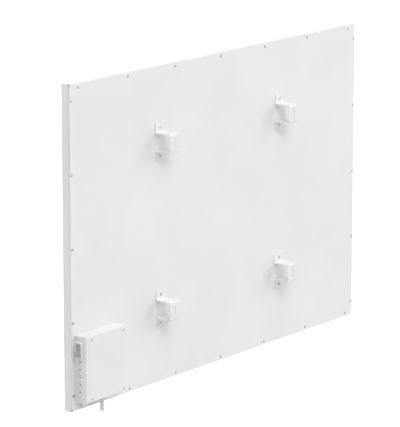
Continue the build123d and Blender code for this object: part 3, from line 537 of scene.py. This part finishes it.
def white_world():
    """World that lights evenly and is white to the camera."""
    world = bpy.data.worlds.new("white_world")
    world.use_nodes = True
    tree = world.node_tree
    light = tree.nodes["Background"]
    light.inputs["Color"].default_value = linear("#FFFFFF")
    light.inputs["Strength"].default_value = settings().stage.sky
    white = add(tree, "ShaderNodeBackground", {"Color": linear("#FFFFFF"), "Strength": 1.0})
    seen = add(tree, "ShaderNodeMixShader", {}, {0: backdrop_rays(tree), 1: light, 2: white})
    join(tree, tree.nodes["World Output"], {"Surface": seen})
    return world


def finish_nodes(material, *names):
    """Gives CAD nodes a finish."""
    for name in names:
        for slot in NODES[name].material_slots:
            slot.material = material


# ---- Mesh helpers ----
WELD = 1e-7  # points this near in metres are one
NEAR = 1e-5  # wider reach, for points that a cut has left a little apart
SMOOTH_ANGLE = radians(40)  # faces that meet at more keep a crisp edge
TO_WALL = Matrix.Rotation(radians(-90), 4, "X")  # turns a piece made on end so that it points to the wall


def everything(mesh):
    """All the geometry of a bmesh."""
    return mesh.verts[:] + mesh.edges[:] + mesh.faces[:]


def points_in(geometry):
    """The vertices in what an operator hands back."""
    return [item for item in geometry if isinstance(item, bmesh.types.BMVert)]


def turn_profile(mesh, profile, steps=32):
    """Spins a profile of (radius, height) points about the Z axis into a closed skin."""
    points = [mesh.verts.new((radius, 0, height)) for radius, height in profile]
    edges = [mesh.edges.new(pair) for pair in zip(points, points[1:])]
    bmesh.ops.spin(
        mesh, geom=points + edges, cent=(0, 0, 0), axis=(0, 0, 1), angle=tau, steps=steps, use_merge=True
    )
    bmesh.ops.remove_doubles(mesh, verts=mesh.verts, dist=WELD)
    bmesh.ops.recalc_face_normals(mesh, faces=mesh.faces)


def dome(radius, rise, steps=6):
    """Points of a dome from its rim towards its crown, as (radius, height)."""
    turns = [radians(90) * i / steps for i in range(steps + 1)]
    return [(radius * cos(t), rise * sin(t)) for t in turns]


def cut(mesh, spot, normal, clear=False):
    """Cuts everything along a plane and, where asked, clears what lies beyond it."""
    bmesh.ops.bisect_plane(
        mesh, geom=everything(mesh), dist=WELD, plane_co=spot, plane_no=normal, clear_outer=clear
    )


def repeat(mesh, places):
    """Moves everything in the bmesh to the first place and copies it to the others."""
    bmesh.ops.translate(mesh, vec=places[0], verts=mesh.verts)
    first = everything(mesh)
    for place in places[1:]:
        copied = bmesh.ops.duplicate(mesh, geom=first)["geom"]
        bmesh.ops.translate(mesh, vec=place - places[0], verts=points_in(copied))


def sharp_edges(mesh, angle=radians(20)):
    """Edges where two faces meet at more than the angle."""
    return [edge for edge in mesh.edges if len(edge.link_faces) == 2 and edge.calc_face_angle() > angle]


def round_edges(mesh, edges, offset, segments=3):
    """Rounds edges."""
    bmesh.ops.bevel(
        mesh,
        geom=edges,
        offset=offset,
        segments=segments,
        profile=0.5,
        affect="EDGES",
        material=-1,
        clamp_overlap=True,
    )


def add_piece(name, mesh, material, slot, body, *nodes):
    """Object from a finished bmesh, smooth but for its corners, on a body and in place of its CAD nodes."""
    data = bpy.data.meshes.new(name)
    mesh.to_mesh(data)
    mesh.free()
    data.materials.append(material)
    data.shade_smooth()
    data.set_sharp_from_angle(angle=SMOOTH_ANGLE)
    obj = bpy.data.objects.new(name, data)
    bpy.context.scene.collection.objects.link(obj)
    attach(obj, body)
    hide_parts(*nodes)
    return obj


# ---- Rivets ----
HOLE_CLEARANCE = 1.15  # a dome's points stay this many pin radii from its middle


def edge_rivet_places():
    """Rivets round the edge of the back, seated on the back plate."""
    values = settings().rivets
    low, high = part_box("edge_rivets")
    row = [(i - (values.row_count - 1) / 2) * values.row_pitch for i in range(values.row_count)]
    column = [(i - (values.column_count - 1) / 2) * values.column_pitch for i in range(values.column_count)]
    row_z = (high.z - low.z) / 2 - values.cad_radius
    column_x = (high.x - low.x) / 2 - values.cad_radius
    places = [Vector((x, PLATE_BACK, side * row_z)) for side in (1, -1) for x in row]
    return places + [Vector((side * column_x, PLATE_BACK, z)) for side in (1, -1) for z in column]


def bracket_rivet_places():
    """Two rivets on each bracket, seated on its feet."""
    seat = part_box("bracket_rivets")[1].y - settings().rivets.cad_rise
    offset = settings().rivets.bracket_offset
    centres = [middle(name) for name in BRACKETS]
    return [Vector((spot.x, seat, spot.z + side * offset)) for spot in centres for side in (1, -1)]


def rivet_mesh(depth):
    """Set blind rivet that points to the wall: its dome, its pin broken off in it, and its shank."""
    values = settings().rivets
    crown = [(r, values.rim + h) for r, h in dome(values.head_radius, values.head_rise - values.rim)]
    hole = values.pin_radius
    lip = [(r, h) for r, h in crown if r > hole * HOLE_CLEARANCE]
    top = lip[-1][1]
    sunk = top - values.pin_sink
    shank = [(values.shank_radius, -depth), (values.shank_radius, 0.0)] if depth else []
    head = [(values.head_radius, 0.0)] + lip + [(hole, top), (hole, sunk), (0.0, sunk)]
    mesh = bmesh.new()
    turn_profile(mesh, [(0.0, -depth)] + shank + head)
    bmesh.ops.transform(mesh, matrix=TO_WALL, verts=mesh.verts)
    return mesh


# ---- Lid screws ----
PAN_RIM = 0.45  # share of a pan head's height that stands upright below its dome
FACES_UP = 0.2  # upward part of a face's normal, from which the face belongs to the top of a head
RECESS_TAPER = 0.8  # size of a recess's floor against its mouth


def lid_screw_places():
    """Four screws near the lid's corners, seated on the lid."""
    low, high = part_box("lid_screws")
    inset = settings().screws.head_radius
    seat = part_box("junction_box_lid")[1].y
    columns, rows = (low.x + inset, high.x - inset), (low.z + inset, high.z - inset)
    return [Vector((x, seat, z)) for x in columns for z in rows]


def cross_recess(mesh, values):
    """Sinks a tapered cross into the top of a screw head that points up."""
    half_long, half_wide = values.recess_length / 2, values.recess_width / 2
    for axis in (Vector((1, 0, 0)), Vector((0, 1, 0))):
        for offset in (-half_long, -half_wide, half_wide, half_long):
            cut(mesh, axis * offset, axis)

    def in_cross(face):
        spot = face.calc_center_median()
        wide, narrow = max(abs(spot.x), abs(spot.y)), min(abs(spot.x), abs(spot.y))
        return face.normal.z > FACES_UP and wide < half_long and narrow < half_wide

    pressed = [face for face in mesh.faces if in_cross(face)]
    moved = bmesh.ops.extrude_face_region(mesh, geom=pressed)["geom"]
    bmesh.ops.delete(mesh, geom=pressed, context="FACES_KEEP_BOUNDARY")
    level = values.head_rise - values.recess_depth
    for corner in points_in(moved):
        corner.co = Vector((corner.co.x * RECESS_TAPER, corner.co.y * RECESS_TAPER, level))


def screw_mesh(tail):
    """Pan head screw that points to the wall, with a shank of this length."""
    values = settings().screws
    rim = values.head_rise * PAN_RIM
    pan = [(r, rim + h) for r, h in dome(values.head_radius, values.head_rise - rim, steps=10)]
    shank = [(0.0, -tail), (values.shank_radius, -tail), (values.shank_radius, 0.0)]
    mesh = bmesh.new()
    turn_profile(mesh, shank + [(values.head_radius, 0.0)] + pan, steps=40)
    cross_recess(mesh, values)
    bmesh.ops.transform(mesh, matrix=TO_WALL, verts=mesh.verts)
    return mesh


# ---- Switch rocker ----
ROCKER_SIDES = 96  # sides of the circle that its ends are cut from
WAIST_STEPS = 10
PIN_SIDES = 32
ROCKER_CORNER = radians(35)  # edges that fold by more are rounded


def rocker_mesh(pin_length):
    """Rocker about its pivot, finger face to +X: two wings that slope to a rounded waist, and its pins."""
    values = settings().rocker
    mesh = bmesh.new()
    bmesh.ops.create_circle(mesh, cap_ends=True, radius=values.radius, segments=ROCKER_SIDES)
    slope = Vector((values.radius, values.waist_rise - values.end_rise, 0))
    # One wing is cut to its underside and its sloping face, and then mirrored
    cut(mesh, Vector((0, 0, 0)), Vector((0, -1, 0)), clear=True)
    cut(mesh, Vector((-values.skirt, 0, 0)), Vector((-1, 0, 0)), clear=True)
    cut(mesh, Vector((values.waist_rise, 0, 0)), slope.normalized(), clear=True)
    bmesh.ops.mirror(mesh, geom=everything(mesh), axis="Y", merge_dist=NEAR)
    raised = bmesh.ops.extrude_face_region(mesh, geom=mesh.faces[:])["geom"]
    bmesh.ops.translate(mesh, vec=(0, 0, values.width), verts=points_in(raised))
    bmesh.ops.remove_doubles(mesh, verts=mesh.verts, dist=WELD)
    bmesh.ops.recalc_face_normals(mesh, faces=mesh.faces)

    def on_waist(point):
        return abs(point.co.y) < WELD and abs(point.co.x - values.waist_rise) < NEAR

    waist = [edge for edge in mesh.edges if all(on_waist(point) for point in edge.verts)]
    round_edges(mesh, waist, values.waist_round, WAIST_STEPS)
    round_edges(mesh, sharp_edges(mesh, ROCKER_CORNER), values.edge)
    bmesh.ops.dissolve_degenerate(mesh, dist=WELD, edges=mesh.edges)
    bmesh.ops.translate(mesh, vec=(0, 0, -values.width / 2), verts=mesh.verts)
    tilt = Matrix.Rotation(values.tilt, 3, "Z")
    bmesh.ops.rotate(mesh, cent=(0, 0, 0), matrix=tilt, verts=mesh.verts)
    bmesh.ops.create_cone(
        mesh,
        cap_ends=True,
        segments=PIN_SIDES,
        radius1=values.pin_radius,
        radius2=values.pin_radius,
        depth=pin_length,
    )
    return mesh


# ---- Lead-out sleeve ----
def sleeve_mesh():
    """Bored sleeve, with its neck in the box's bottom wall and its collar inside the box."""
    values = settings().sleeve
    low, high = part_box("lead_out_sleeve")
    spot = middle("lead_out_sleeve")
    wall_high = high.z - values.collar_rise
    wall_low = high.z - values.collar_rise - values.wall
    profile = [
        (values.bore, low.z),
        (values.radius, low.z),
        (values.radius, wall_low),
        (values.neck, wall_low),
        (values.neck, wall_high),
        (values.collar, wall_high),
        (values.collar, high.z),
        (values.bore, high.z),
        (values.bore, low.z),
    ]
    mesh = bmesh.new()
    turn_profile(mesh, profile, steps=48)
    tip = [edge for edge in sharp_edges(mesh) if all(v.co.z < low.z + WELD for v in edge.verts)]
    round_edges(mesh, tip, values.edge)
    bmesh.ops.translate(mesh, vec=(spot.x, spot.y, 0), verts=mesh.verts)
    return mesh


# ---- Stage ----
# Azimuth 0 looks along +Y and 90 along -X; elevation is above the horizon
# Each lamp's angles in degrees, side in metres and power in watts
LAMPS = (
    ("lamp_left", 155, 47, 9.6, 1250),
    ("lamp_grazing", 120, 45, 14.4, 490),
    ("lamp_right", 228, 25, 9.6, 1050),
    ("lamp_front", 20, 20, 7.2, 1830),
    ("lamp_far", 300, 20, 7.2, 300),
    ("lamp_top", 180, 80, 7.2, 320),
)
LIGHT_AIM = Vector((0, -0.02, 0))
CAMERA_ANGLES = (126.98, 12.355)
CAMERA_PLACE = Vector((4.38148, 3.21595, 1.18405))
VIEW_DEPTH = 100.0  # metres that the camera sees, past the floor's far edge


def towards(azimuth, elevation):
    """Direction from the object to a lamp or camera at these angles in degrees."""
    turn, lift = radians(azimuth), radians(elevation)
    return Vector((sin(turn) * cos(lift), -cos(turn) * cos(lift), sin(lift)))


def place_facing(name, data, azimuth, elevation, place):
    """Object of a lamp or camera at a place, looking back along its direction."""
    obj = bpy.data.objects.new(name, data)
    bpy.context.scene.collection.objects.link(obj)
    obj.location = place
    obj.rotation_euler = (-towards(azimuth, elevation)).to_track_quat("-Z", "Y").to_euler()
    return obj


def lay_floor(values):
    """Plain floor below the heater."""
    mesh = bmesh.new()
    bmesh.ops.create_grid(mesh, x_segments=1, y_segments=1, size=values.floor_size / 2)
    bmesh.ops.translate(mesh, vec=(0, 0, -values.floor_drop), verts=mesh.verts)
    data = bpy.data.meshes.new("studio_floor")
    mesh.to_mesh(data)
    mesh.free()
    data.materials.append(pale_floor())
    floor = bpy.data.objects.new("studio_floor", data)
    bpy.context.scene.collection.objects.link(floor)


def hang_lamps(values):
    """Square studio lamps, all at one distance."""
    for name, azimuth, elevation, size, power in LAMPS:
        light = bpy.data.lights.new(name, "AREA")
        light.size = size
        light.energy = power
        place = LIGHT_AIM + towards(azimuth, elevation) * values.lamp_distance
        place_facing(name, light, azimuth, elevation, place)


def set_camera(values):
    """Camera at the photograph's place and angle."""
    data = bpy.data.cameras.new("photo_camera")
    data.lens = values.lens
    data.clip_end = VIEW_DEPTH
    bpy.context.scene.camera = place_facing("photo_camera", data, *CAMERA_ANGLES, CAMERA_PLACE)


# ---- Operators ----
class HEATER_OT_sheet_parts(bpy.types.Operator):
    """Powder coats the tray, the back plate, the brackets and the junction box"""

    bl_idname = "heater.sheet_parts"
    bl_label = "Powder coated sheet"

    def execute(self, context):
        coat = powder_coated_steel()
        finish_nodes(coat, "front_tray", "back_plate", "junction_box_body", "junction_box_lid", *BRACKETS)
        return {"FINISHED"}


class HEATER_OT_heating_layers(bpy.types.Operator):
    """Finishes what lies inside the panel"""

    bl_idname = "heater.heating_layers"
    bl_label = "Heating layers"

    def execute(self, context):
        finish_nodes(laminated_carbon_film(), "heating_mat")
        finish_nodes(rolled_copper_foil(), "busbars", "busbar_lugs")
        finish_nodes(creased_aluminium_foil(), "reflective_foil")
        finish_nodes(pressed_mineral_wool(), "insulation_board")
        finish_nodes(moulded_phenolic(), "thermal_cutout")
        return {"FINISHED"}


class HEATER_OT_wiring(bpy.types.Operator):
    """Finishes the switch's housing and what lies inside the junction box"""

    bl_idname = "heater.wiring"
    bl_label = "Switch and wiring"

    def execute(self, context):
        finish_nodes(moulded_abs_bezel(), "switch_housing")
        finish_nodes(drawn_brass(), "switch_blades", "clamp_bars")
        finish_nodes(dipped_vinyl(), "push_on_tags")
        finish_nodes(moulded_polyamide(), "terminal_block")
        finish_nodes(zinc_plated_steel(), "clamp_screws", "earth_stud", "earth_nuts", "earth_tag")
        finish_nodes(set_aluminium(), "box_rivets")
        finish_nodes(moulded_rubber(), "grommet")
        live = silicone_wire("silicone_live_wire", "#55301E", "#6A4130")
        neutral = silicone_wire("silicone_neutral_wire", "#2C5CA6", "#3F70BA")
        finish_nodes(live, "wire_live_feed", "wire_live_lead", "wire_element_lead")
        finish_nodes(neutral, "wire_neutral_feed", "wire_neutral_lead")
        finish_nodes(silicone_earth_wire(), "wire_earth")
        return {"FINISHED"}


class HEATER_OT_edge_rivets(bpy.types.Operator):
    """Makes the 24 rivet heads round the back"""

    bl_idname = "heater.edge_rivets"
    bl_label = "Edge rivets"

    def execute(self, context):
        mesh = rivet_mesh(0.0)
        repeat(mesh, edge_rivet_places())
        add_piece("edge_rivet_heads", mesh, set_aluminium(), "rivet_aluminium", "panel", "edge_rivets")
        return {"FINISHED"}


class HEATER_OT_bracket_rivets(bpy.types.Operator):
    """Makes the two rivets of each bracket"""

    bl_idname = "heater.bracket_rivets"
    bl_label = "Bracket rivets"

    def execute(self, context):
        places = bracket_rivet_places()
        mesh = rivet_mesh(places[0].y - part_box("bracket_rivets")[0].y)
        repeat(mesh, places)
        add_piece("bracket_rivet_heads", mesh, set_aluminium(), "rivet_aluminium", "panel", "bracket_rivets")
        return {"FINISHED"}


class HEATER_OT_lid_screws(bpy.types.Operator):
    """Makes the four pan head screws of the lid"""

    bl_idname = "heater.lid_screws"
    bl_label = "Lid screws"

    def execute(self, context):
        places = lid_screw_places()
        mesh = screw_mesh(places[0].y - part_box("lid_screws")[0].y)
        repeat(mesh, places)
        add_piece("lid_pan_screws", mesh, zinc_plated_steel(), "zinc_steel", "panel", "lid_screws")
        return {"FINISHED"}


class HEATER_OT_rocker(bpy.types.Operator):
    """Makes the switch's rocker, hollowed for the finger"""

    bl_idname = "heater.rocker"
    bl_label = "Switch rocker"

    def execute(self, context):
        low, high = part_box("switch_rocker")
        mesh = rocker_mesh(high.y - low.y)
        pivot = Vector(SWITCH["pos_m"])
        place = Matrix.Translation(pivot) @ Matrix.Rotation(radians(90), 4, "X")
        bmesh.ops.transform(mesh, matrix=place, verts=mesh.verts)
        add_piece("rocker_cap", mesh, moulded_abs_rocker(), "switch_grey", "rocker", "switch_rocker")
        return {"FINISHED"}


class HEATER_OT_lead_out(bpy.types.Operator):
    """Makes the bored sleeve below the junction box"""

    bl_idname = "heater.lead_out"
    bl_label = "Lead-out sleeve"

    def execute(self, context):
        mesh = sleeve_mesh()
        add_piece("lead_out_bush", mesh, moulded_pvc_sleeve(), "white_moulding", "panel", "lead_out_sleeve")
        return {"FINISHED"}


class HEATER_OT_stage(bpy.types.Operator):
    """Lays the floor and sets the light and the camera"""

    bl_idname = "heater.stage"
    bl_label = "Floor, light and camera"

    def execute(self, context):
        values = settings().stage
        lay_floor(values)
        context.scene.world = white_world()
        context.scene.view_settings.view_transform = "Standard"
        hang_lamps(values)
        set_camera(values)
        return {"FINISHED"}


OPERATORS = (
    HEATER_OT_sheet_parts,
    HEATER_OT_heating_layers,
    HEATER_OT_wiring,
    HEATER_OT_edge_rivets,
    HEATER_OT_bracket_rivets,
    HEATER_OT_lid_screws,
    HEATER_OT_rocker,
    HEATER_OT_lead_out,
    HEATER_OT_stage,
)


class HEATER_PT_sidebar(bpy.types.Panel):
    """Lists the heater's operators and settings"""

    bl_idname = "HEATER_PT_sidebar"
    bl_label = "Panel heater"
    bl_space_type = "VIEW_3D"
    bl_region_type = "UI"
    bl_category = "Heater"

    def draw(self, context):
        layout = self.layout
        for operator in OPERATORS:
            layout.operator(operator.bl_idname)
        for group in settings().bl_rna.properties:
            if group.type == "POINTER" and group.identifier != "rna_type":
                box = layout.box()
                box.label(text=group.name)
                values = getattr(settings(), group.identifier)
                for name in values.__annotations__:
                    box.prop(values, name)


GROUPS = (
    RivetSettings,
    ScrewSettings,
    RockerSettings,
    SleeveSettings,
    ColourSettings,
    StageSettings,
    HeaterSettings,
)


def register():
    for cls in GROUPS + OPERATORS + (HEATER_PT_sidebar,):
        bpy.utils.register_class(cls)
    bpy.types.Scene.panel_heater = PointerProperty(type=HeaterSettings)


def unregister():
    del bpy.types.Scene.panel_heater
    for cls in reversed(GROUPS + OPERATORS + (HEATER_PT_sidebar,)):
        bpy.utils.unregister_class(cls)


def main():
    register()
    for operator in OPERATORS:
        group, name = operator.bl_idname.split(".")
        getattr(getattr(bpy.ops, group), name)()


if __name__ == "__main__":
    main()
